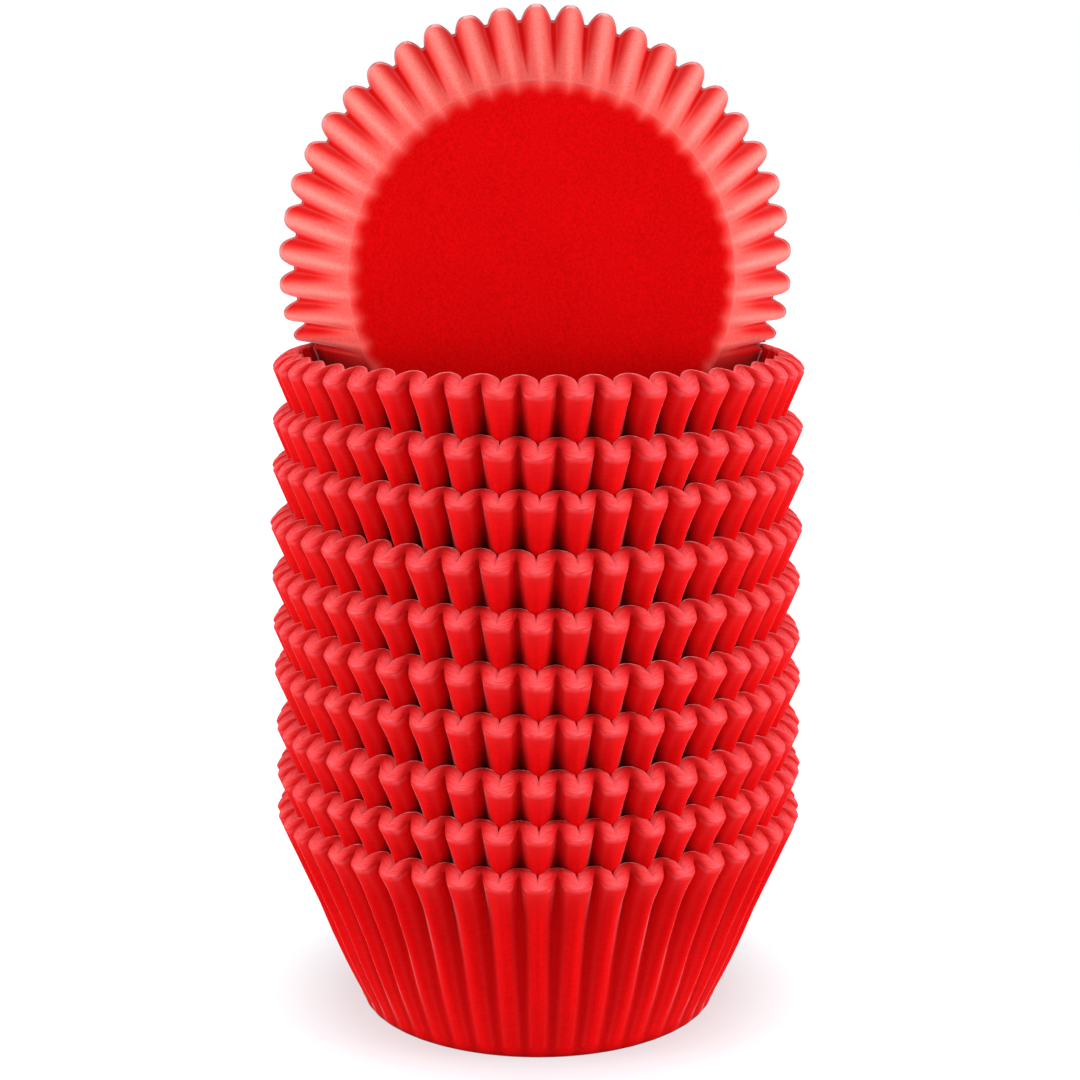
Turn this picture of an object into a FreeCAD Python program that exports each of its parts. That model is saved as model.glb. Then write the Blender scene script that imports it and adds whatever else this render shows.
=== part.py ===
import FreeCAD, Part
import math
import os

# A stack of pleated paper baking cups. Ten packets of cups are nested in one another, and a single
# cup stands on its rim inside the top packet, with the underside of its base facing the front.
# Millimetres, +Z up, -Y is the front. The origin is the middle of the base that the stack rests on.

doc = FreeCAD.newDocument("cupcake_liner_stack")
sheet = doc.addObject("Spreadsheet::Sheet", "sizes")

# Driving dimensions: name, value, what it is.
SIZES = [
    ("pleat_count", 46, "pleats round every cup"),
    ("base_radius", 24.5, "radius at which a packet's straight wall would meet the table"),
    ("rim_radius", 36.1, "radius of a packet's rim at its outer edge"),
    ("rim_height", 27.1, "height of that outer edge over the packet's underside"),
    ("edge_height", 1.4, "height of the rounded edge under the wall"),
    ("edge_inset", 1.3, "how far that edge draws the flat underside in"),
    ("floor_thickness", 3.6, "thickness of a packet's floor, its sheets lying loosely"),
    ("bevel_angle", 31.0, "slope of the fanned cut edges at the rim, from level"),
    ("ridge_width", 1.8, "flat of an outer ridge at the rim"),
    ("valley_width", 1.3, "flat of an outer valley at the rim"),
    ("outer_depth", 1.9, "depth of an outer valley at the rim"),
    ("groove_width", 1.4, "flat of an inner groove at the rim"),
    ("bulge_width", 1.9, "flat of an inner bulge at the rim"),
    ("inner_depth", 1.15, "height of an inner bulge over its groove at the rim"),
    ("nest_gap", 0.33, "clearance between one packet's wall and the next"),
    ("liner_base_radius", 24.4, "base radius of the single cup"),
    ("liner_draw", 0.6, "how much closer its lobes stand to its axis than a packet's rim"),
    ("liner_depth", 24.5, "distance from its rim to its base"),
    ("liner_edge", 0.7, "size of the rounded edge round its base"),
    ("liner_paper", 0.2, "thickness of its paper, pressed double at the folds"),
    ("lobe_depth", 2.1, "depth of a notch between two lobes at the rim"),
    ("lobe_width", 2.4, "width between a lobe's two shoulders"),
    ("lobe_round", 0.45, "how far the shoulders lie behind the lobe's tip"),
    ("liner_rim_back", 12.0, "how far behind the stack's axis its rim stands"),
    ("liner_turn", 2.1, "turn of the single cup about the upright axis"),
    ("liner_shift", 0.15, "how far the single cup stands to the right"),
    ("seat_gap", 0.3, "clearance between the single cup and what holds it"),
    ("seat_lobe", 14.5, "lobe steps from its top down to the notch that hooks over the rim"),
    ("crowd_lobe", 11.5, "lobe steps from its top at which the lobes start to crowd upward"),
    ("tuck_angle", 76.0, "angle from the back at which the tucked lobes press sideways"),
]
# Thickness of each packet's wall, from the lowest packet up.
PACKET_WALLS = [2.06, 2.08, 2.59, 2.03, 2.45, 2.43, 2.72, 2.04, 2.58, 2.60]

row = 1
for name, value, meaning in SIZES:
    sheet.set("A%d" % row, str(value))
    sheet.set("B%d" % row, meaning)
    sheet.setAlias("A%d" % row, name)
    row += 1
for number, wall in enumerate(PACKET_WALLS, start=1):
    sheet.set("A%d" % row, str(wall))
    sheet.set("B%d" % row, "wall thickness of packet %d" % number)
    sheet.setAlias("A%d" % row, "packet_wall_%d" % number)
    row += 1
doc.recompute()

pleats = int(sheet.pleat_count)
pitch = 2 * math.pi / pleats
lean = math.atan((sheet.rim_radius - sheet.base_radius) / sheet.rim_height)
bevel = math.tan(math.radians(sheet.bevel_angle))


def around(angle, radius, height):
    """Point at an angle from the front, turning to the right."""
    return FreeCAD.Vector(radius * math.sin(angle), -radius * math.cos(angle), height)


def solid_of(facets):
    """Solid bounded by flat facets, each a list of its corners."""
    faces = [Part.Face(Part.makePolygon(corners + corners[:1])) for corners in facets]
    shell = Part.makeShell(faces)
    shell.sewShape()
    solid = Part.makeSolid(shell)
    if solid.Volume < 0:
        solid.reverse()
    return solid


# Packets

def wall_radius(height):
    """Radius of the outer ridges at a height over the packet's underside."""
    return sheet.base_radius + height * math.tan(lean)


def bevel_height(radius):
    """Height of the bevelled rim at a radius."""
    return sheet.rim_height + (sheet.rim_radius - radius) * bevel


def groove_radius(wall):
    """Radius at which the inner grooves of a wall reach the bevelled rim."""
    return sheet.rim_radius - wall / math.cos(lean) / (1 + bevel * math.tan(lean))


def floor_radius(wall):
    """Radius at which the inside of a wall meets the packet's floor."""
    return wall_radius(sheet.floor_thickness) - wall / math.cos(lean)


def fluted_ring(outer, width, inner, inner_width):
    """Outline of the rim, four corners a pleat: two at one radius, then two at the other."""
    half = width / sheet.rim_radius / 2
    inner_half = inner_width / sheet.rim_radius / 2
    ring = []
    for pleat in range(pleats):
        middle = pleat * pitch
        for angle, radius in ((middle - half, outer),
                              (middle + half, outer),
                              (middle + pitch / 2 - inner_half, inner),
                              (middle + pitch / 2 + inner_half, inner)):
            ring.append(around(angle, radius, bevel_height(radius)))
    return ring


def plain_ring(radius, height):
    """Outline with one corner a pleat."""
    return [around(pleat * pitch, radius, height) for pleat in range(pleats)]


def fluted_wall(rim, foot):
    """Flat facets from a fluted rim down to a plain outline, where the pleats have run out."""
    facets = []
    for pleat in range(pleats):
        left, right, next_left, next_right = rim[4 * pleat:4 * pleat + 4]
        following = rim[(4 * pleat + 4) % len(rim)]
        low, next_low = foot[pleat], foot[(pleat + 1) % pleats]
        facets.append([left, right, low])
        facets.append([right, next_left, low])
        facets.append([next_left, next_right, next_low, low])
        facets.append([next_right, following, next_low])
    return facets


def bevel_band(outer, inner):
    """Facets of the cut edges, between the outer and the inner outline of the rim."""
    facets = []
    for first in range(len(outer)):
        second = (first + 1) % len(outer)
        if first % 2 == 0:
            facets.append([outer[first], outer[second], inner[second], inner[first]])
        else:
            facets.append([outer[first], outer[second], inner[first]])
            facets.append([outer[second], inner[second], inner[first]])
    return facets


def band(lower, upper):
    """Facets between two plain outlines."""
    facets = []
    for first in range(pleats):
        second = (first + 1) % pleats
        facets.append([lower[first], lower[second], upper[second], upper[first]])
    return facets


def packet_shape(wall):
    """One packet of cups pressed together, as a solid standing on its underside."""
    groove = groove_radius(wall)
    outer_rim = fluted_ring(sheet.rim_radius, sheet.ridge_width,
                            sheet.rim_radius - sheet.outer_depth, sheet.valley_width)
    inner_rim = fluted_ring(groove, sheet.groove_width, groove - sheet.inner_depth, sheet.bulge_width)
    foot = plain_ring(wall_radius(sheet.edge_height), sheet.edge_height)
    underside = plain_ring(sheet.base_radius - sheet.edge_inset, 0)
    inner_foot = plain_ring(floor_radius(wall), sheet.floor_thickness)
    facets = fluted_wall(outer_rim, foot) + bevel_band(outer_rim, inner_rim)
    facets += fluted_wall(inner_rim, inner_foot) + band(underside, foot)
    facets += [underside, inner_foot]
    return solid_of(facets)


def packet_rise(wall):
    """How far the next packet stands higher, held by the leaning walls."""
    return (wall + sheet.nest_gap) / math.sin(lean)


# Single cup

def top_packet():
    """Wall thickness of the top packet and the height of its underside."""
    height = 0.0
    for number in range(1, len(PACKET_WALLS)):
        height += packet_rise(sheet.get("packet_wall_%d" % number))
    return sheet.get("packet_wall_%d" % len(PACKET_WALLS)), height


top_wall, top_height = top_packet()
top_bulge = groove_radius(top_wall) - sheet.inner_depth
top_rim = top_height + bevel_height(top_bulge)
top_floor = top_height + sheet.floor_thickness
liner_rim = sheet.rim_radius - sheet.liner_draw
cup_centre = top_floor + sheet.seat_gap + liner_rim
seat_angle = sheet.seat_lobe * pitch
seat_notch = cup_centre + (liner_rim - sheet.lobe_depth) * math.cos(seat_angle)
seat_lift = top_rim + sheet.seat_gap - seat_notch


def cup_point(angle, radius, back):
    """Point of the single cup at an angle from its top, radius from its axis, and distance back."""
    turn = math.radians(sheet.liner_turn)
    across = radius * math.sin(angle)
    x = sheet.liner_shift + across * math.cos(turn) - back * math.sin(turn)
    y = across * math.sin(turn) + back * math.cos(turn)
    return FreeCAD.Vector(x, y, cup_centre + radius * math.cos(angle))


def room_inside(height):
    """Radius that the single cup has inside the top packet at a height."""
    share = (height - top_floor) / (top_rim - top_floor)
    radius = floor_radius(top_wall) + (top_bulge - floor_radius(top_wall)) * share
    return radius - (sheet.seat_gap + sheet.liner_paper) / math.cos(lean)


def rim_point(angle, radius):
    """Point of the single cup's rim: crowded upward over the packet's rim, or tucked inside it."""
    steps = abs(angle) / pitch
    seat = sheet.seat_lobe
    if steps <= seat:
        share = max(0.0, (steps - sheet.crowd_lobe) / (seat - sheet.crowd_lobe)) ** 2
    else:
        share = (pleats / 2 - steps) / (pleats / 2 - seat)
    point = cup_point(angle, radius, sheet.liner_rim_back)
    point.z += seat_lift * share
    if steps >= seat:
        room = room_inside(point.z)
        side = room * math.sin(math.radians(sheet.tuck_angle))
        point.x = max(-side, min(side, point.x))
        point.y = min(point.y, math.sqrt(room ** 2 - point.x ** 2))
    return point


def lobed_rim():
    """Rim of the single cup, four corners a lobe: tip, shoulder, notch and shoulder."""
    tip = liner_rim
    shoulder = sheet.lobe_width / tip / 2
    ring = []
    for lobe in range(pleats):
        middle = (lobe - pleats // 2) * pitch
        ring.append(rim_point(middle, tip))
        ring.append(rim_point(middle + shoulder, tip - sheet.lobe_round))
        ring.append(rim_point(middle + pitch / 2, tip - sheet.lobe_depth))
        ring.append(rim_point(middle + pitch - shoulder, tip - sheet.lobe_round))
    return ring


def cup_outside():
    """Corners of the cup's outside and its facets: base ring, foot ring, then the lobed rim."""
    base_back = sheet.liner_rim_back - sheet.liner_depth
    angles = [(lobe - pleats // 2) * pitch for lobe in range(pleats)]
    corners = [cup_point(angle, sheet.liner_base_radius - sheet.liner_edge, base_back)
               for angle in angles]
    corners += [cup_point(angle, sheet.liner_base_radius, base_back + sheet.liner_edge)
                for angle in angles]
    corners += lobed_rim()
    facets = []
    for lobe in range(pleats):
        following = (lobe + 1) % pleats
        foot, next_foot = pleats + lobe, pleats + following
        tip, right, notch, left = [2 * pleats + 4 * lobe + corner for corner in range(4)]
        next_tip = 2 * pleats + 4 * following
        facets += [[lobe, following, next_foot], [lobe, next_foot, foot]]
        facets += [[foot, right, tip], [foot, notch, right], [foot, next_foot, notch]]
        facets += [[next_foot, left, notch], [next_foot, next_tip, left]]
    return corners, facets


def inward_offset(corners, facets, distance):
    """The same corners moved inward, square to the facets that meet there."""
    sums = [FreeCAD.Vector() for _ in corners]
    for facet in facets:
        first, second, third = [corners[index] for index in facet]
        normal = (second - first).cross(third - first)
        for index in facet:
            sums[index] += normal
    base_normal = (corners[pleats // 4] - corners[0]).cross(corners[pleats // 2] - corners[0])
    for index in range(pleats):
        sums[index] += base_normal * (sums[index].Length / base_normal.Length)
    return [corner - normal.normalize() * distance for corner, normal in zip(corners, sums)]


def cup_shape():
    """The single cup, a shell of paper."""
    corners, facets = cup_outside()
    inside = inward_offset(corners, facets, sheet.liner_paper)
    flat = [[skin[index] for index in facet] for skin in (corners, inside) for facet in facets]
    flat += [corners[:pleats], inside[:pleats]]
    rim = range(2 * pleats, len(corners))
    for first in rim:
        second = first + 1 if first + 1 < len(corners) else 2 * pleats
        flat.append([corners[first], corners[second], inside[second]])
        flat.append([corners[first], inside[second], inside[first]])
    return solid_of(flat)


# The document's objects, one for each piece

pieces = []
height = 0.0
for number in range(1, len(PACKET_WALLS) + 1):
    wall = sheet.get("packet_wall_%d" % number)
    packet = doc.addObject("Part::Feature", "packet_%d" % number)
    packet.Label = "packet_%02d" % number
    packet.Shape = packet_shape(wall)
    packet.Placement = FreeCAD.Placement(FreeCAD.Vector(0, 0, height), FreeCAD.Rotation())
    pieces.append(packet)
    height += packet_rise(wall)

cup = doc.addObject("Part::Feature", "standing_cup")
cup.Label = "standing_liner"
cup.Shape = cup_shape()
pieces.append(cup)

doc.recompute()
for item in doc.Objects:
    if "Invalid" in item.State or "Error" in item.State:
        raise RuntimeError("%s did not recompute" % item.Label)
os.makedirs("parts", exist_ok=True)
for piece in pieces:
    if piece.Shape.isNull() or not piece.Shape.isValid():
        raise RuntimeError("%s has no valid shape" % piece.Label)
    print("%s: %.1f mm3, %d faces" % (piece.Label, piece.Shape.Volume, len(piece.Shape.Faces)))
for piece in pieces:
    piece.Shape.exportStep("parts/%s.step" % piece.Label)
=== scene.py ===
import math
import random

import bpy
import numpy as np
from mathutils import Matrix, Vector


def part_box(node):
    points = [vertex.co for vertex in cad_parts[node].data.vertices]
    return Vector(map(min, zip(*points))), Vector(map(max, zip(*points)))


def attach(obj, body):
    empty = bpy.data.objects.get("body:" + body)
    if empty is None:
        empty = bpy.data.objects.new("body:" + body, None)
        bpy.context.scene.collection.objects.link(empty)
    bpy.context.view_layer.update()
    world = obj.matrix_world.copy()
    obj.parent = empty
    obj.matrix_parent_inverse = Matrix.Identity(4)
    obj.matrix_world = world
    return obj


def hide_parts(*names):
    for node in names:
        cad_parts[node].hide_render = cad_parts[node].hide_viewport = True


# A stack of pleated red baking cups, in packets nested in one another, with one more cup standing
# on its rim inside the top packet. Metres, +Z up, the front is -Y.

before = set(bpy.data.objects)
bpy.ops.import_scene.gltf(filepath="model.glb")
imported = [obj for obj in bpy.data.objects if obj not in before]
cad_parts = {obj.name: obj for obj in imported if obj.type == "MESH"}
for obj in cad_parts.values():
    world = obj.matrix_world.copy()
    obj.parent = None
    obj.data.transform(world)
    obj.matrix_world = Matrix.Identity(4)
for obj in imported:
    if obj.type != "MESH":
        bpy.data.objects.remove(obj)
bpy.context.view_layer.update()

MM = 0.001
PLEATS = 46
PITCH = 2 * math.pi / PLEATS

# Sizes of a packet, as in the solids
RIM_RADIUS = 36.1 * MM
RIM_HEIGHT = 27.1 * MM
BASE_RADIUS = 24.5 * MM
FLOOR_THICKNESS = 3.6 * MM
OUTER_DEPTH = 1.9 * MM
INNER_DEPTH = 1.15 * MM
LEAN = math.atan((RIM_RADIUS - BASE_RADIUS) / RIM_HEIGHT)
BEVEL = math.tan(math.radians(31))
FAN_SLOPE = math.tan(math.radians(32.5))

# The rounded foot of a packet, where its wall turns under
FOOT_HEIGHT = 1.8 * MM
FOOT_SPREAD = 0.2 * MM
FOOT_DEPTH = 0.26 * MM
FLAT_RADIUS = BASE_RADIUS - 0.1 * MM
CORNER_RADIUS = BASE_RADIUS + FOOT_SPREAD
FOOT_RADIUS = BASE_RADIUS + FOOT_HEIGHT * math.tan(LEAN)

# How finely the paper is drawn. The smallest ring is closed by one flat face.
COLUMNS_PER_PLEAT = 22
COLUMNS = PLEATS * COLUMNS_PER_PLEAT
SMALLEST_RING = 1.5 * MM
FOOT_RINGS = 7
WALL_RINGS = 14
BEVEL_RINGS = 11
INSIDE_RINGS = 3
TOP_INSIDE_RINGS = 8


# Small helpers

def smooth(low, high, value):
    """Rises from 0 at low to 1 at high, with no corner at either end."""
    share = np.clip((value - low) / (high - low), 0.0, 1.0)
    return share * share * (3 - 2 * share)


def mix(first, second, share):
    return first * (1 - share) + second * share


def wobble(angles, dice, slowest, fastest, waves=7):
    """Gentle uneven wave round the stack, about -1 to 1, that closes on itself."""
    total = np.zeros_like(angles)
    for _ in range(waves):
        turns = dice.randint(slowest, fastest)
        total += np.cos(turns * angles + dice.uniform(0, 2 * math.pi)) * dice.uniform(0.4, 1.0)
    return total / math.sqrt(waves)


def ring_grid(name, rows):
    """Closed mesh of rings. Each row is a dict of arrays: x, y, z and the named values of its points."""
    count = len(rows)
    points = np.stack([np.stack([row["x"], row["y"], row["z"]], axis=1) for row in rows])
    index = np.arange(count * COLUMNS).reshape(count, COLUMNS)
    following = np.roll(index, -1, axis=1)
    quads = np.stack([index[:-1], following[:-1], following[1:], index[1:]], axis=-1)
    faces = quads.reshape(-1, 4).tolist()
    faces.append(index[0][::-1].tolist())
    faces.append(index[-1].tolist())
    mesh = bpy.data.meshes.new(name)
    mesh.from_pydata(points.reshape(-1, 3).tolist(), [], faces)
    for key in rows[0]:
        if key in "xyz":
            continue
        layer = mesh.attributes.new(key, "FLOAT", "POINT")
        layer.data.foreach_set("value", np.concatenate([row[key] for row in rows]).astype(np.float32))
    mesh.polygons.foreach_set("use_smooth", [True] * len(mesh.polygons))
    mesh.update()
    thing = bpy.data.objects.new(name, mesh)
    bpy.context.scene.collection.objects.link(thing)
    return thing


# Packets of nested cups

# How far each packet's rim leans down to the right, in degrees, and sits off the axis, in
# millimetres, from the lowest packet up
RIM_TILTS = [0.0, -0.35, 0.3, 0.85, 1.4, 0.55, 0.35, 0.5, 0.9, 0.25]
RIM_SHIFTS = [0.0, 0.05, 0.0, -0.1, -0.15, -0.2, -0.22, 0.1, 0.0, 0.05]
# How much narrower each rim has drawn in, in millimetres
RIM_DRAWS = [0.0, 0.0, 0.05, 0.1, 0.2, 0.2, 0.15, 0.3, 0.55, 0.7]

# How much the pleats differ from one another by chance
COMMON_STRAY = 0.03 * PITCH
OWN_STRAY = 0.018 * PITCH
RADIUS_STRAY = 0.05 * MM
OUT_OF_ROUND = 0.1 * MM
RIDGE_STRAY = 0.015
NOTCH_STRAY = 0.12
OUTER_EDGE_STRAY = 0.06 * MM
INNER_EDGE_STRAY = 0.05 * MM

# Shape of a pleat: half its flat ridge, as a share of the pitch, the notch between two inner
# lobes, how much deeper these are than in the solid, how much a valley sinks in below the rim,
# and the ledges in the cut edges
RIDGE_HALF = 0.3
NOTCH_DEPTH = 0.3 * MM
LOBE_FULLNESS = 1.08
SUNK_VALLEY = 0.45 * MM
LEDGE = 0.03 * MM

# How steeply a ridge and an inner lobe round off, and how flat-topped a ridge is at the rim.
# Going down from the rim it gets slender, and is so all round by SLENDER_BY below it.
RIDGE_POWER = 3.5
LOBE_POWER = 0.46
FLAT_TOPPED_SHARE = 0.7
SLENDER_FROM = -2 * MM
SLENDER_BY = 6.5 * MM

# The lowest packet's whole wall shows: it bulges a little, and light gets into its valleys, where less
# shade is painted.
# The others go down into the packet below them, where their paper is painted darker as shade.
LOWEST_FULLNESS = 0.25 * MM
LOWEST_VALLEY_SHADE = 0.3
RIM_SHADE = 0.13
VALLEY_SHADE_POWER = 2.6
# Painted shade on the undersides, and a painted contact shadow at each foot
UNDERSIDE_SHADE = 0.6
CONTACT_SHADE = 0.95

# Painted highlights along the ridges' shoulders, just below the rim, and at the innermost
# sheet's cut edge
SHOULDER_HIGHLIGHT = 0.03
SHOULDER_PLACE = 0.27
SHOULDER_WIDTH = 0.06
RIM_HIGHLIGHT = 0.08
RIM_HIGHLIGHT_HEIGHT = 1.5 * MM
INNER_EDGE_HIGHLIGHT = 0.75

# Share of the cut edges' paler colour on the wall's last rings, counted down from the rim
PALE_RINGS = {1: 0.62, 2: 0.36}

# Place of each column of points: its angle, its pleat, and how far it lies from that pleat's ridge
columns = np.arange(COLUMNS)
around = columns * (2 * math.pi / COLUMNS)
pleat_of = columns / COLUMNS_PER_PLEAT
across = (pleat_of + 0.5) % 1.0 - 0.5
side = np.abs(across)


def per_pleat(dice, stray):
    """A random amount for each pleat, passing evenly from one ridge to the next."""
    amounts = [dice.gauss(0, stray) for _ in range(PLEATS)]
    amounts.append(amounts[0])
    return np.interp(pleat_of, np.arange(PLEATS + 1), amounts)


class Packet:
    """Curves of one packet, worked out from its solid's box and a little chance."""

    def __init__(self, number, lean_of_pleats):
        self.name = "packet_%02d" % number
        self.dice = random.Random(100 + number)
        low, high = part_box(self.name)
        self.base, top = low[2], high[2]
        self.tilt = math.tan(math.radians(RIM_TILTS[number - 1]))
        self.shift = RIM_SHIFTS[number - 1] * MM
        self.draw = RIM_DRAWS[number - 1] * MM
        bulge = RIM_RADIUS - (top - self.base - RIM_HEIGHT) / BEVEL
        self.groove = bulge + INNER_DEPTH

        lowest = number == 1
        self.fullness = LOWEST_FULLNESS if lowest else 0.0
        self.valley_shade = LOWEST_VALLEY_SHADE if lowest else 1.0
        self.rim_shade = 0.0 if lowest else RIM_SHADE

        dice = self.dice
        self.angles = around + lean_of_pleats + per_pleat(dice, OWN_STRAY)
        self.out_of_round = per_pleat(dice, RADIUS_STRAY) + OUT_OF_ROUND * wobble(around, dice, 2, 5)
        self.ridge_half = RIDGE_HALF + per_pleat(dice, RIDGE_STRAY)
        notch = NOTCH_DEPTH * (1 + 2 * per_pleat(dice, NOTCH_STRAY))

        self.rim_radius = RIM_RADIUS - OUTER_DEPTH * self.outer_profile(0.0)
        self.rim_height = self.fan_height(self.rim_radius) + per_pleat(dice, OUTER_EDGE_STRAY)
        bulging = np.abs(np.sin(math.pi * across)) ** LOBE_POWER
        self.inner_radius = self.groove + notch - (INNER_DEPTH * LOBE_FULLNESS + notch) * bulging
        self.inner_height = self.fan_height(self.inner_radius) + per_pleat(dice, INNER_EDGE_STRAY)

    @staticmethod
    def fan_height(radius):
        """Height of the fan of cut edges at a radius."""
        return RIM_HEIGHT + (RIM_RADIUS - radius) * FAN_SLOPE

    def outer_profile(self, drop):
        """How far the outside falls back from ridge, 0, to valley, 1, at a distance below the rim."""
        rounded = (2 * side) ** RIDGE_POWER
        flat_topped = smooth(self.ridge_half, 0.5, side)
        broad = mix(rounded, flat_topped, FLAT_TOPPED_SHARE)
        slender = 0.5 - 0.5 * np.cos(2 * math.pi * side)
        return mix(broad, slender, smooth(SLENDER_FROM, SLENDER_BY, drop))

    def row(self, radius, height, follow, edge=0.0, sheet=0.0, painted_shade=0.0, painted_highlight=0.0):
        """One ring of points: how far it follows the rim's tilt, and what its paper looks like, painted
        shade and highlights included.
        """
        reach = radius + (self.out_of_round - self.draw) * follow
        x = reach * np.sin(self.angles) + self.shift * follow
        y = -reach * np.cos(self.angles)
        z = self.base + height - x * self.tilt * follow
        full = np.ones(COLUMNS)
        return {"x": x, "y": y, "z": z, "edge": full * edge, "sheet": full * sheet,
                "valley": self.outer_profile(0.0) * follow, "painted_shade": full * painted_shade,
                "painted_highlight": full * painted_highlight}

    def underside_rows(self):
        """Rings from the middle of the underside, round the foot, to the start of the wall."""
        rows = []
        # The flat underside gets painted shade
        for radius in (SMALLEST_RING, FLAT_RADIUS * 0.6, FLAT_RADIUS * 0.97):
            rows.append(self.row(np.full(COLUMNS, radius), 0.0, 0.0, painted_shade=UNDERSIDE_SHADE))
        profile = self.outer_profile(RIM_HEIGHT)
        for step in range(FOOT_RINGS):
            turn = step / FOOT_RINGS
            under = mix(FLAT_RADIUS, CORNER_RADIUS, turn)
            upward = mix(CORNER_RADIUS, FOOT_RADIUS, turn)
            radius = mix(under, upward, turn) - profile * FOOT_DEPTH * turn
            # Painted contact shadow at the foot, and painted shade in the valleys as the wall rises
            contact = CONTACT_SHADE * (1 - turn) ** 1.5
            dark = contact + self.valley_shade * profile ** VALLEY_SHADE_POWER * turn
            rows.append(self.row(radius, FOOT_HEIGHT * turn ** 2, 0.0, painted_shade=np.minimum(dark, 1)))
        return rows

    def painted_wall_shade(self, profile, drop):
        """Painted shade in the valleys, and where the wall goes down behind the rim of the packet below.
        """
        valley = self.valley_shade * profile ** VALLEY_SHADE_POWER
        valley = valley * mix(0.12, 1.0, smooth(1.5 * MM, 6 * MM, drop))
        return np.minimum(valley + self.rim_shade * smooth(2.5 * MM, 7 * MM, drop), 1)

    def painted_wall_highlights(self, profile, drop):
        """Painted highlights at the ridges' shoulders and just below the rim."""
        shoulder = SHOULDER_HIGHLIGHT * np.exp(-((side - SHOULDER_PLACE) / SHOULDER_WIDTH) ** 2)
        return shoulder + RIM_HIGHLIGHT * math.exp(-drop / RIM_HIGHLIGHT_HEIGHT) * (1 - profile)

    def wall_rows(self):
        """Rings from the foot to the rim, closer to one another near the rim."""
        rows = []
        for step in range(WALL_RINGS):
            share = 1 - (1 - step / (WALL_RINGS - 1)) ** 1.5
            height = mix(FOOT_HEIGHT, self.rim_height, share)
            drop = (1 - share) * RIM_HEIGHT
            profile = self.outer_profile(drop)
            sunken = SUNK_VALLEY * smooth(0.2 * MM, 2.5 * MM, drop) * share
            depth = mix(FOOT_DEPTH, OUTER_DEPTH, share) + sunken
            radius = mix(FOOT_RADIUS, RIM_RADIUS, share) - depth * profile
            radius = radius + self.fullness * math.sin(math.pi * min(1, 2 * share))
            edge = PALE_RINGS.get(WALL_RINGS - step, 0.0)
            # Painted shade and painted highlights on the wall
            rows.append(self.row(radius, height, share, edge=edge,
                                 painted_shade=self.painted_wall_shade(profile, drop),
                                 painted_highlight=self.painted_wall_highlights(profile, drop)))
        return rows

    def bevel_rows(self):
        """The fanned cut edges, in uneven ledges, with painted shade in the valleys towards the outer
        edge and a painted highlight where the innermost sheet ends.
        """
        rows = []
        last = BEVEL_RINGS - 1
        for step in range(BEVEL_RINGS):
            share = step / last
            radius = mix(self.rim_radius, self.inner_radius, share ** 1.5)
            height = mix(self.rim_height, self.inner_height, 1 - (1 - share) ** 1.7)
            ledge = wobble(around, self.dice, 5, 60) * LEDGE * math.sin(math.pi * share)
            row = self.row(radius + ledge, height + ledge, 1.0,
                           edge=0.7 if step == 0 else 1.0, sheet=share,
                           painted_shade=0.2 * (2 * side) ** 3 * (1 - share),
                           painted_highlight=INNER_EDGE_HIGHLIGHT if step == last else 0.0)
            row["valley"] = (2 * side) ** 1.1
            rows.append(row)
        return rows

    def inner_rows(self, count):
        """Rings of the inside, from just below the rim down to the middle of the floor."""
        groove_height = RIM_HEIGHT + (RIM_RADIUS - self.groove) * BEVEL
        floor = self.groove - (groove_height - FLOOR_THICKNESS) * math.tan(LEAN)
        first_step = 0.15
        rows = []
        for step in range(count):
            share = 1 - (step + first_step) / (count - 1 + first_step)
            radius = mix(floor, self.inner_radius, share)
            height = mix(FLOOR_THICKNESS, self.inner_height, share)
            rows.append(self.row(radius, height, share, sheet=1.0))
        for radius in (floor * 0.97, floor * 0.5, SMALLEST_RING):
            rows.append(self.row(np.full(COLUMNS, radius), FLOOR_THICKNESS, 0.0, sheet=1.0))
        return rows

    def build(self, material, inside_rings):
        """The whole packet as one closed mesh, in place of its solid."""
        rows = self.underside_rows() + self.wall_rows() + self.bevel_rows()
        rows += self.inner_rows(inside_rings)
        thing = ring_grid("pleated_" + self.name, rows)
        thing.data.materials.append(material)
        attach(thing, "root")
        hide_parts(self.name)


# The cup that stands on its rim in the top packet

CUP_BASE_RADIUS = 24.8 * MM
CUP_RIM_RADIUS = 35.5 * MM
CUP_DEPTH = 24.5 * MM
CUP_CORNER = 1.8 * MM
CUP_PAPER = 0.2 * MM
LOBE_DEPTH = 2.05 * MM
LOBE_STRAY = 0.14 * MM
# How much the painted highlights and painted fold lines vary from pleat to pleat
PAINTED_LIGHT_STRAY = 0.3

# How it stands: how far its rim is behind the stack's axis, its turn, its shift to the right,
# and its clearance from the packet
CUP_RIM_BACK = 12.0 * MM
CUP_TURN = math.radians(2.1)
CUP_SHIFT = 0.15 * MM
SEAT_GAP = 0.3 * MM

# Lobes counted from the top of the rim: the one that passes over the packet's rim, and the first
# that crowds up towards it. Below, the rim is tucked in, no wider than at this angle from the back.
SEAT_LOBE = 14.5
CROWD_LOBE = 11.5
TUCK_ANGLE = math.radians(76)

# Its rings: those of the flat underside, as shares of its radius, and how many more there are
# on the rounded corner and up the wall
CUP_FLAT_SHARES = (0.4, 0.7, 0.9, 0.98)
CUP_CORNER_RINGS = 5
CUP_WALL_STEPS = 16
CUP_FIRST_WALL_RING = 1 + len(CUP_FLAT_SHARES) + CUP_CORNER_RINGS

# How strongly the painted highlights show on its inner skin, against 1 on the outer one
INNER_SKIN_HIGHLIGHT = 0.6


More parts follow.
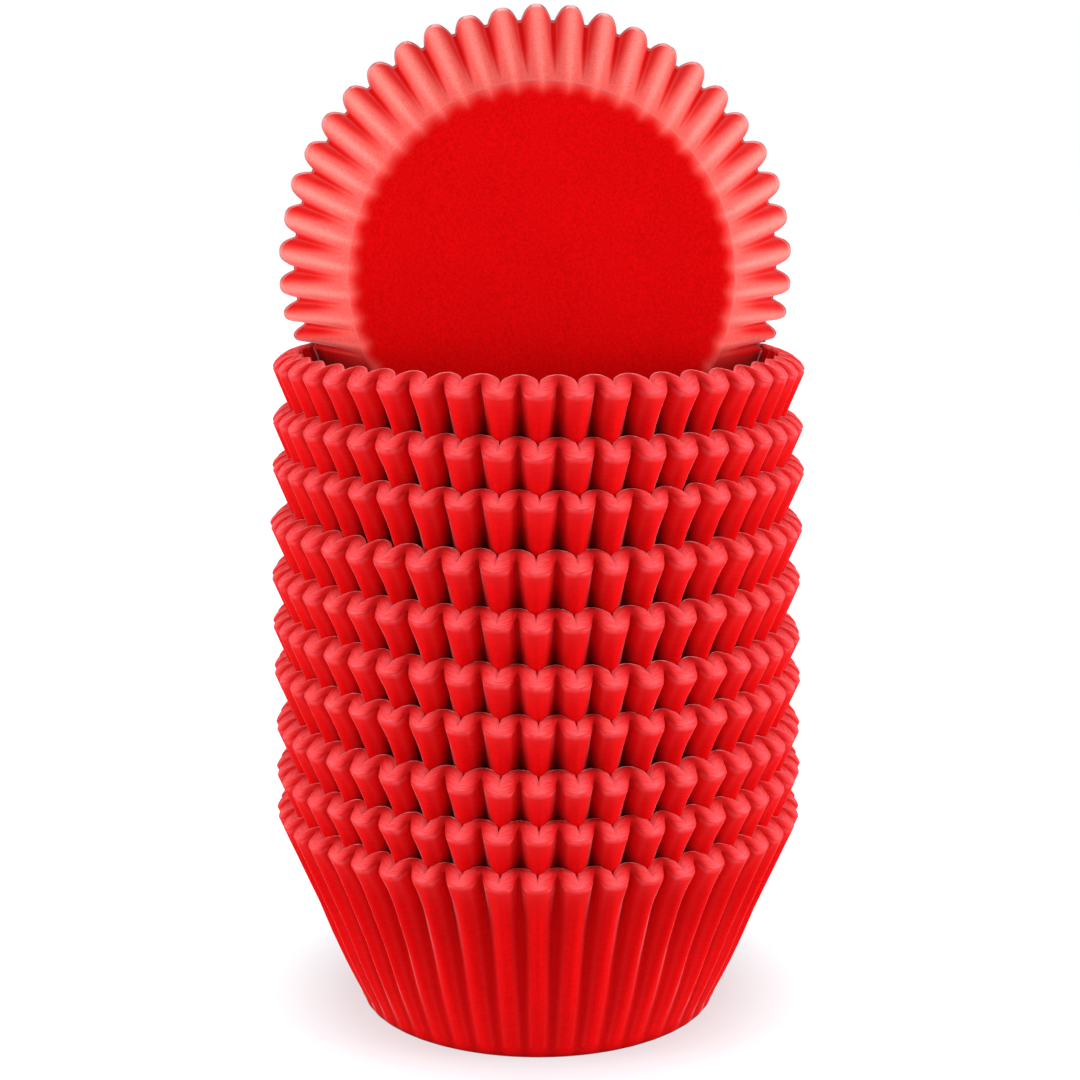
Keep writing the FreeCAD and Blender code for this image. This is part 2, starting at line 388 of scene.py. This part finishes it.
class StandingCup:
    """The single cup: its rim crowds up over the packet's rim and is tucked in below it."""

    def __init__(self, packet):
        dice = random.Random(7)
        self.floor = packet.base + FLOOR_THICKNESS
        self.centre = self.floor + SEAT_GAP + CUP_RIM_RADIUS
        self.bulge = packet.groove - INNER_DEPTH
        self.rim = packet.base + RIM_HEIGHT + (RIM_RADIUS - self.bulge) * BEVEL
        self.floor_radius = packet.groove - (self.rim - self.floor) * math.tan(LEAN)
        seat = self.centre + (CUP_RIM_RADIUS - LOBE_DEPTH) * math.cos(SEAT_LOBE * PITCH)
        self.lift = self.rim + SEAT_GAP - seat
        self.angles = (pleat_of - PLEATS // 2) * PITCH
        self.painted_light_amount = 1 + per_pleat(dice, PAINTED_LIGHT_STRAY)
        self.uneven = per_pleat(dice, LOBE_STRAY)

        # The painted highlight along each lobe lies a little towards its lower side
        from_streak = across - 0.13 * np.sin(self.angles)
        self.flank = np.abs((from_streak + 0.5) % 1.0 - 0.5)

        # A painted shade line in each fold, and a painted highlight line just below it
        in_pleat = columns % COLUMNS_PER_PLEAT
        fold = COLUMNS_PER_PLEAT // 2
        self.fold_shade_line = (in_pleat == fold) * self.painted_light_amount
        self.fold_highlight_line = (in_pleat == fold + 2 * np.sign(self.angles)) * self.painted_light_amount

    def points(self, radius, back):
        """Ring of points at a radius from the cup's own axis."""
        side_reach = radius * np.sin(self.angles)
        x = CUP_SHIFT + side_reach * math.cos(CUP_TURN) - back * math.sin(CUP_TURN)
        y = side_reach * math.sin(CUP_TURN) + back * math.cos(CUP_TURN)
        return np.stack([x, y, self.centre + radius * np.cos(self.angles)], axis=1)

    def rim_points(self, radius):
        """Ring at the rim, crowded up over the packet's rim or tucked in below it."""
        steps = np.abs(self.angles) / PITCH
        crowd = np.clip((steps - CROWD_LOBE) / (SEAT_LOBE - CROWD_LOBE), 0, 1) ** 2
        settle = (PLEATS / 2 - steps) / (PLEATS / 2 - SEAT_LOBE)
        points = self.points(radius, CUP_RIM_BACK)
        points[:, 2] += self.lift * np.where(steps <= SEAT_LOBE, crowd, settle)
        points[:, 2] = np.maximum(points[:, 2], self.floor + SEAT_GAP)
        share = (points[:, 2] - self.floor) / (self.rim - self.floor)
        room = mix(self.floor_radius, self.bulge, share) - (SEAT_GAP + CUP_PAPER) / math.cos(LEAN)
        widest = room * math.sin(TUCK_ANGLE)
        tucked_x = np.clip(points[:, 0], -widest, widest)
        tucked_y = np.minimum(points[:, 1], np.sqrt(room ** 2 - tucked_x ** 2))
        tuck = smooth(SEAT_LOBE - 0.3, SEAT_LOBE, steps)
        points[:, 0] = mix(points[:, 0], tucked_x, tuck)
        points[:, 1] = mix(points[:, 1], tucked_y, tuck)
        return points

    def outside(self):
        """Rings of the outside, from the middle of the underside to the rim."""
        base_back = CUP_RIM_BACK - CUP_DEPTH
        flat = CUP_BASE_RADIUS - CUP_CORNER
        rings = [self.points(np.full(COLUMNS, SMALLEST_RING), base_back)]
        for share in CUP_FLAT_SHARES:
            rings.append(self.points(np.full(COLUMNS, flat * share), base_back))
        for step in range(CUP_CORNER_RINGS):
            turn = step / CUP_CORNER_RINGS * math.pi / 2
            radius = np.full(COLUMNS, mix(flat, CUP_BASE_RADIUS, math.sin(turn)))
            rings.append(self.points(radius, base_back + CUP_CORNER * (1 - math.cos(turn))))
        foot = self.points(np.full(COLUMNS, CUP_BASE_RADIUS), base_back + CUP_CORNER)
        in_fold = np.minimum(1.0, 1.3 * (2 * side) ** 2.6)
        lobed = self.rim_points(CUP_RIM_RADIUS - LOBE_DEPTH * in_fold + self.uneven * (1 - in_fold))
        plain = self.rim_points(np.full(COLUMNS, CUP_RIM_RADIUS - 0.3 * LOBE_DEPTH))
        for step in range(CUP_WALL_STEPS + 1):
            share = step / CUP_WALL_STEPS
            rings.append(mix(foot, plain, share) + (lobed - plain) * share)
        return np.stack(rings)

    @staticmethod
    def inward(outside):
        """The inner skin, a sheet's thickness inside the outer one."""
        along = np.gradient(outside, axis=0)
        round_about = np.roll(outside, -1, axis=1) - np.roll(outside, 1, axis=1)
        normals = np.cross(round_about, along)
        normals /= np.linalg.norm(normals, axis=2, keepdims=True)
        # A point of the flat underside tells whether they point outward
        middle = outside[0].mean(axis=0) + np.array([0, CUP_DEPTH / 2, 0])
        flat_ring = len(CUP_FLAT_SHARES) - 1
        if np.sum(normals[flat_ring, 0] * (middle - outside[flat_ring, 0])) > 0:
            normals = -normals
        return outside - normals * CUP_PAPER

    def row(self, ring, step, highlight_strength):
        """A ring's points and paper: a painted highlight along the lobes, painted shade in the red folds
        and down in the packet.

        The step counts rings from the middle of the underside. The painted highlight starts on the
        rounded corner, a little later in the folds."""
        share = max(0.0, (step - CUP_FIRST_WALL_RING) / CUP_WALL_STEPS)
        # Painted shade: the folds go a deeper red, widest and strongest near the rim, where the glow also
        # shines
        red = smooth(mix(0.34, 0.1, share), 0.47, self.flank) * smooth(0.02, 0.7, share)
        lined = smooth(0.05, 0.3, share) * (1 - 0.6 * share)
        # Painted shade where the cup goes down into the packet
        depth_in_packet = self.rim + 2 * MM - ring[:, 2]
        shaded = smooth(-1 * MM, 4 * MM, depth_in_packet) * smooth(7, 11, step)
        pale_start = smooth(4.3, 10.0, step - 1.3 * (2 * side) * self.painted_light_amount)
        # Painted highlight along the lobes, brightest on each lobe's streak
        bright = 0.46 + 0.54 * np.exp(-(self.flank / 0.14) ** 2) * smooth(-0.3, 0.35, share)
        crest = highlight_strength * (1 - red) ** 1.6 * pale_start * bright * (1 - shaded)
        fold_shade = lined * self.fold_shade_line
        return {"x": ring[:, 0], "y": ring[:, 1], "z": ring[:, 2],
                "edge": np.zeros(COLUMNS), "sheet": np.zeros(COLUMNS),
                "painted_highlight": crest * (1 - 0.5 * fold_shade) + 0.2 * lined * self.fold_highlight_line,
                "valley": red * (1 - shaded), "painted_shade": 0.3 * shaded + 0.14 * fold_shade}

    def build(self, material):
        """The cup as one closed mesh with an outer and an inner skin, in place of its solid."""
        outside = self.outside()
        inside = self.inward(outside)
        count = len(outside)
        rows = [self.row(outside[step], step, 1.0) for step in range(count)]
        rows += [self.row(inside[step], step, INNER_SKIN_HIGHLIGHT) for step in reversed(range(count))]
        thing = ring_grid("standing_cup", rows)
        thing.data.materials.append(material)
        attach(thing, "root")
        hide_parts("standing_liner")


# Materials

def group_with(name, inputs, outputs):
    """Empty node group with number inputs and outputs, and its two end nodes."""
    group = bpy.data.node_groups.new(name, "ShaderNodeTree")
    for label, value in inputs:
        socket = group.interface.new_socket(name=label, in_out="INPUT", socket_type="NodeSocketFloat")
        socket.default_value = value
    for label in outputs:
        group.interface.new_socket(name=label, in_out="OUTPUT", socket_type="NodeSocketFloat")
    start = group.nodes.new("NodeGroupInput")
    end = group.nodes.new("NodeGroupOutput")
    return group, start, end


def set_or_link(tree, socket, value):
    """Gives a socket a plain value, or links it where the value is a socket too."""
    if isinstance(value, (int, float, tuple)):
        socket.default_value = value
    else:
        tree.links.new(value, socket)


def math_node(tree, operation, first, second):
    """Two numbers or sockets put together; returns the result's socket."""
    node = tree.nodes.new("ShaderNodeMath")
    node.operation = operation
    set_or_link(tree, node.inputs[0], first)
    set_or_link(tree, node.inputs[1], second)
    return node.outputs[0]


def noise_node(tree, vector, scale, detail, roughness=0.5):
    node = tree.nodes.new("ShaderNodeTexNoise")
    node.inputs["Detail"].default_value = detail
    node.inputs["Roughness"].default_value = roughness
    set_or_link(tree, node.inputs["Scale"], scale)
    tree.links.new(vector, node.inputs["Vector"])
    return node.outputs["Fac"]


def make_paper_grain():
    """Fine fibres and a slow mottle, as greaseproof paper shows against the light."""
    group, start, end = group_with(
        "Paper grain", (("Fibre scale", 3200.0), ("Mottle scale", 140.0)), ("Fibre", "Mottle"))
    place = group.nodes.new("ShaderNodeTexCoord").outputs["Object"]
    fibre = noise_node(group, place, start.outputs["Fibre scale"], 3, 0.65)
    mottle = noise_node(group, place, start.outputs["Mottle scale"], 2)
    group.links.new(fibre, end.inputs["Fibre"])
    group.links.new(mottle, end.inputs["Mottle"])
    return group


def make_cut_edges():
    """Streaks that run round the stack: across a fan of cut sheets, and up a wall."""
    group, start, end = group_with(
        "Cut edges", (("Across", 0.0), ("Sheets", 42.0), ("Lines", 30.0)), ("Streak",))
    flat_scale = 700.0
    place = group.nodes.new("ShaderNodeTexCoord").outputs["Object"]
    parts = group.nodes.new("ShaderNodeSeparateXYZ")
    group.links.new(place, parts.inputs[0])
    joined = group.nodes.new("ShaderNodeCombineXYZ")
    group.links.new(math_node(group, "MULTIPLY", parts.outputs[0], flat_scale), joined.inputs[0])
    group.links.new(math_node(group, "MULTIPLY", parts.outputs[1], flat_scale), joined.inputs[1])
    climb = math_node(group, "MULTIPLY", start.outputs["Across"], start.outputs["Sheets"])
    tier = math_node(group, "MULTIPLY", parts.outputs[2], start.outputs["Lines"])
    group.links.new(math_node(group, "ADD", climb, tier), joined.inputs[2])
    streak = noise_node(group, joined.outputs[0], 1.0, 2, 0.6)
    group.links.new(streak, end.inputs["Streak"])
    return group


PAPER_GRAIN = make_paper_grain()
CUT_EDGES = make_cut_edges()
BLACK = (0, 0, 0, 1)
# Colour of the painted shade between the pleats
PAINTED_SHADE_COLOUR = (0.05, 0.0, 0.0, 1)
WALL_LINES_PER_METRE = 5200.0

# How strongly the marks in the paper show, in its colour and in its relief
MOTTLE_DEEPENS = 0.14
# Painted shade: how much deeper the colour goes in the folds
FOLD_PAINTED_SHADE = 0.6
FIBRE_RELIEF = 0.35
LEDGE_RELIEF = 0.5
RELIEF_STRENGTH = 0.6
RELIEF_HEIGHT = 0.06 * MM


def placed(tree, group):
    """A node group put into a material."""
    node = tree.nodes.new("ShaderNodeGroup")
    node.node_tree = group
    return node


def blend_colour(tree, share, first, second):
    """Colour between two; each is a socket or four numbers."""
    node = tree.nodes.new("ShaderNodeMix")
    node.data_type = "RGBA"
    tree.links.new(share, node.inputs["Factor"])
    for label, value in (("A", first), ("B", second)):
        socket = next(s for s in node.inputs if s.name == label and s.type == "RGBA")
        set_or_link(tree, socket, value)
    return next(s for s in node.outputs if s.type == "RGBA")


def attribute(tree, name):
    node = tree.nodes.new("ShaderNodeAttribute")
    node.attribute_name = name
    return node.outputs["Fac"]


def spread(tree, value, low, high, to_low=0.0, to_high=1.0):
    """Stretches a value from one range to another, held at its ends."""
    node = tree.nodes.new("ShaderNodeMapRange")
    tree.links.new(value, node.inputs["Value"])
    for label, number in (("From Min", low), ("From Max", high), ("To Min", to_low), ("To Max", to_high)):
        node.inputs[label].default_value = number
    return node.outputs["Result"]


def wall_colour(tree, grain, plain, deep, wall_lines, speckle):
    """Dyed paper: mottled, speckled and finely lined, with painted shade making it deeper in its folds.
    """
    lines = placed(tree, CUT_EDGES)
    lines.inputs["Lines"].default_value = WALL_LINES_PER_METRE
    mottle = spread(tree, grain.outputs["Mottle"], 0.3, 0.7, 0.0, MOTTLE_DEEPENS)
    fold = spread(tree, attribute(tree, "valley"), 0.55, 1.0, 0.0, FOLD_PAINTED_SHADE)
    fibre_shade = spread(tree, grain.outputs["Fibre"], 0.35, 0.65, 0.0, 2 * speckle)
    line_shade = spread(tree, lines.outputs["Streak"], 0.35, 0.65, -wall_lines, wall_lines)
    broad = math_node(tree, "ADD", mottle, fold)
    fine = math_node(tree, "ADD", fibre_shade, line_shade)
    return blend_colour(tree, math_node(tree, "ADD", broad, fine), plain, deep)


def paper_bump(tree, grain, streaks, cut_mask):
    """Fibres all over, and the ledges of the sheets where they are cut."""
    ledges = math_node(tree, "MULTIPLY", math_node(tree, "MULTIPLY", streaks, cut_mask), LEDGE_RELIEF)
    fibres = math_node(tree, "MULTIPLY", grain.outputs["Fibre"], FIBRE_RELIEF)
    bump = tree.nodes.new("ShaderNodeBump")
    bump.inputs["Strength"].default_value = RELIEF_STRENGTH
    bump.inputs["Distance"].default_value = RELIEF_HEIGHT
    tree.links.new(math_node(tree, "ADD", fibres, ledges), bump.inputs["Height"])
    return bump.outputs["Normal"]


def paper(name, plain, deep, cut, cut_deep, wall_lines, speckle, glow):
    """Dyed baking paper, paler where it is cut, with painted highlights, and painted shade between the
    pleats.

    The glow is light that shines through a single sheet in its folds."""
    material = bpy.data.materials.new(name)
    material.use_nodes = True
    tree = material.node_tree
    shader = tree.nodes["Principled BSDF"]
    grain = placed(tree, PAPER_GRAIN)
    edges = placed(tree, CUT_EDGES)
    tree.links.new(attribute(tree, "sheet"), edges.inputs["Across"])
    streaks = edges.outputs["Streak"]

    wall = wall_colour(tree, grain, plain, deep, wall_lines, speckle)
    cut_colour = blend_colour(tree, spread(tree, streaks, 0.3, 0.82), cut_deep, cut)
    cut_mask = spread(tree, attribute(tree, "edge"), 0.3, 0.9)
    fade = spread(tree, attribute(tree, "valley"), 0.1, 0.75, 1.0, 0.1)
    # Painted highlights, broken up by the fibres, take the cut colour
    highlight_grain = spread(tree, grain.outputs["Fibre"], 0.3, 0.7, 0.6, 1.4)
    painted_light_amount = math_node(tree, "MULTIPLY", attribute(tree, "painted_highlight"), highlight_grain)
    colour = blend_colour(tree, math_node(tree, "MULTIPLY", cut_mask, fade), wall, cut_colour)
    colour = blend_colour(tree, painted_light_amount, colour, cut)
    # Painted shade between the pleats
    colour = blend_colour(tree, attribute(tree, "painted_shade"), colour, PAINTED_SHADE_COLOUR)
    tree.links.new(colour, shader.inputs["Base Color"])
    if glow > 0:
        through = blend_colour(tree, attribute(tree, "valley"), BLACK, (glow, 0, 0, 1))
        tree.links.new(through, shader.inputs["Emission Color"])
        shader.inputs["Emission Strength"].default_value = 1.0

    roughness = spread(tree, grain.outputs["Fibre"], 0.3, 0.7, 0.62, 0.8)
    tree.links.new(roughness, shader.inputs["Roughness"])
    tree.links.new(paper_bump(tree, grain, streaks, cut_mask), shader.inputs["Normal"])
    shader.inputs["Specular IOR Level"].default_value = 0.03
    shader.inputs["Sheen Weight"].default_value = 0.75
    shader.inputs["Sheen Roughness"].default_value = 0.2
    shader.inputs["Sheen Tint"].default_value = (1.0, 0.5, 0.5, 1.0)
    return material


# The cut colour is the cut edges' own paler colour and that of the painted highlights; the cup has no cut
# edges, so on it this is only its painted highlights' colour
packet_paper = paper(
    "packet_paper", plain=(0.65, 0.001, 0.002, 1), deep=(0.39, 0.0, 0.0, 1),
    cut=(0.90, 0.15, 0.16, 1), cut_deep=(0.66, 0.03, 0.035, 1),
    wall_lines=0.12, speckle=0.14, glow=0.0)
cup_paper = paper(
    "cup_paper", plain=(0.62, 0.0, 0.001, 1), deep=(0.40, 0.0, 0.0, 1),
    cut=(0.94, 0.20, 0.17, 1), cut_deep=(0.78, 0.05, 0.05, 1),
    wall_lines=0.0, speckle=0.35, glow=0.25)

common_lean = per_pleat(random.Random(3), COMMON_STRAY)
packets = [Packet(number, common_lean) for number in range(1, len(RIM_TILTS) + 1)]
top_packet = packets[-1]
for packet in packets[:-1]:
    packet.build(packet_paper, INSIDE_RINGS)
top_packet.build(packet_paper, TOP_INSIDE_RINGS)
StandingCup(top_packet).build(cup_paper)


# Floor, background and light

STACK_MIDDLE = (0, 0, 0.075)

# The table throws some light back on the stack. To the eye it glows too, a little near the stack,
# where the dimmer glow is a painted shadow, and as white as the background further from its axis.
TABLE_HALF = 3.0
TABLE_BOUNCE = 0.5
PAINTED_SHADOW_GLOW = 0.06
FAR_GLOW = 0.5
GLOW_STARTS = 0.026
GLOW_FULL = 0.048
BACKGROUND_FILL = 0.2


def make_floor():
    """White table that fades into the background, and keeps the stack's shadow, with a painted shadow
    round its foot.
    """
    mesh = bpy.data.meshes.new("table")
    corners = [(-TABLE_HALF, -TABLE_HALF, 0), (TABLE_HALF, -TABLE_HALF, 0),
               (TABLE_HALF, TABLE_HALF, 0), (-TABLE_HALF, TABLE_HALF, 0)]
    mesh.from_pydata(corners, [], [(0, 1, 2, 3)])
    table = bpy.data.objects.new("table", mesh)
    bpy.context.scene.collection.objects.link(table)
    material = bpy.data.materials.new("white_table")
    material.use_nodes = True
    tree = material.node_tree
    shader = tree.nodes["Principled BSDF"]
    shader.inputs["Base Color"].default_value = (0.3, 0.32, 0.36, 1)
    shader.inputs["Roughness"].default_value = 0.6
    shader.inputs["Emission Color"].default_value = (1, 1, 1, 1)
    place = tree.nodes.new("ShaderNodeTexCoord").outputs["Object"]
    from_axis = tree.nodes.new("ShaderNodeVectorMath")
    from_axis.operation = "LENGTH"
    tree.links.new(place, from_axis.inputs[0])
    glow = spread(tree, from_axis.outputs["Value"], GLOW_STARTS, GLOW_FULL, PAINTED_SHADOW_GLOW, FAR_GLOW)
    seen = tree.nodes.new("ShaderNodeLightPath").outputs["Is Camera Ray"]
    shown = math_node(tree, "MULTIPLY", seen, glow)
    tree.links.new(math_node(tree, "ADD", shown, TABLE_BOUNCE), shader.inputs["Emission Strength"])
    mesh.materials.append(material)


def make_background():
    """White to the eye, and a soft pale fill on the paper."""
    world = bpy.data.worlds.new("studio")
    bpy.context.scene.world = world
    world.use_nodes = True
    tree = world.node_tree
    background = tree.nodes["Background"]
    background.inputs["Color"].default_value = (1, 1, 1, 1)
    seen = tree.nodes.new("ShaderNodeLightPath").outputs["Is Camera Ray"]
    tree.links.new(spread(tree, seen, 0, 1, BACKGROUND_FILL, 1.0), background.inputs["Strength"])


def softbox(name, place, width, height, power):
    """Rectangular lamp that faces the middle of the stack; its power is in watts."""
    light = bpy.data.lights.new(name, "AREA")
    light.shape = "RECTANGLE"
    light.size = width
    light.size_y = height
    light.energy = power
    lamp = bpy.data.objects.new(name, light)
    lamp.location = place
    direction = np.subtract(STACK_MIDDLE, place)
    level_reach = math.hypot(direction[0], direction[1])
    lamp.rotation_euler = (math.atan2(level_reach, -direction[2]), 0,
                           math.atan2(direction[1], direction[0]) - math.pi / 2)
    bpy.context.scene.collection.objects.link(lamp)


make_floor()
make_background()
softbox("left_softbox", (-0.42, -0.12, 0.12), 0.22, 0.4, 2.1)
softbox("right_softbox", (0.42, -0.12, 0.12), 0.22, 0.4, 2.5)
softbox("top_softbox", (0, -0.1, 0.55), 0.5, 0.4, 1.25)
softbox("front_softbox", (0, -0.6, 0.15), 0.5, 0.35, 1.6)


# Camera, fitted to the photograph's frame of 1080 by 1080

FOCAL_PIXELS = 2099
FRAME_PIXELS = 1080
SENSOR_WIDTH = 36
CAMERA_DIP = math.radians(10.74)
camera_data = bpy.data.cameras.new("camera")
camera_data.sensor_width = SENSOR_WIDTH
camera_data.lens = SENSOR_WIDTH * FOCAL_PIXELS / FRAME_PIXELS
camera = bpy.data.objects.new("camera", camera_data)
camera.location = (0.26 * MM, -281 * MM, 117.4 * MM)
camera.rotation_euler = (math.pi / 2 - CAMERA_DIP, 0, 0)
bpy.context.scene.collection.objects.link(camera)
bpy.context.scene.camera = camera
bpy.context.scene.view_settings.view_transform = "Standard"
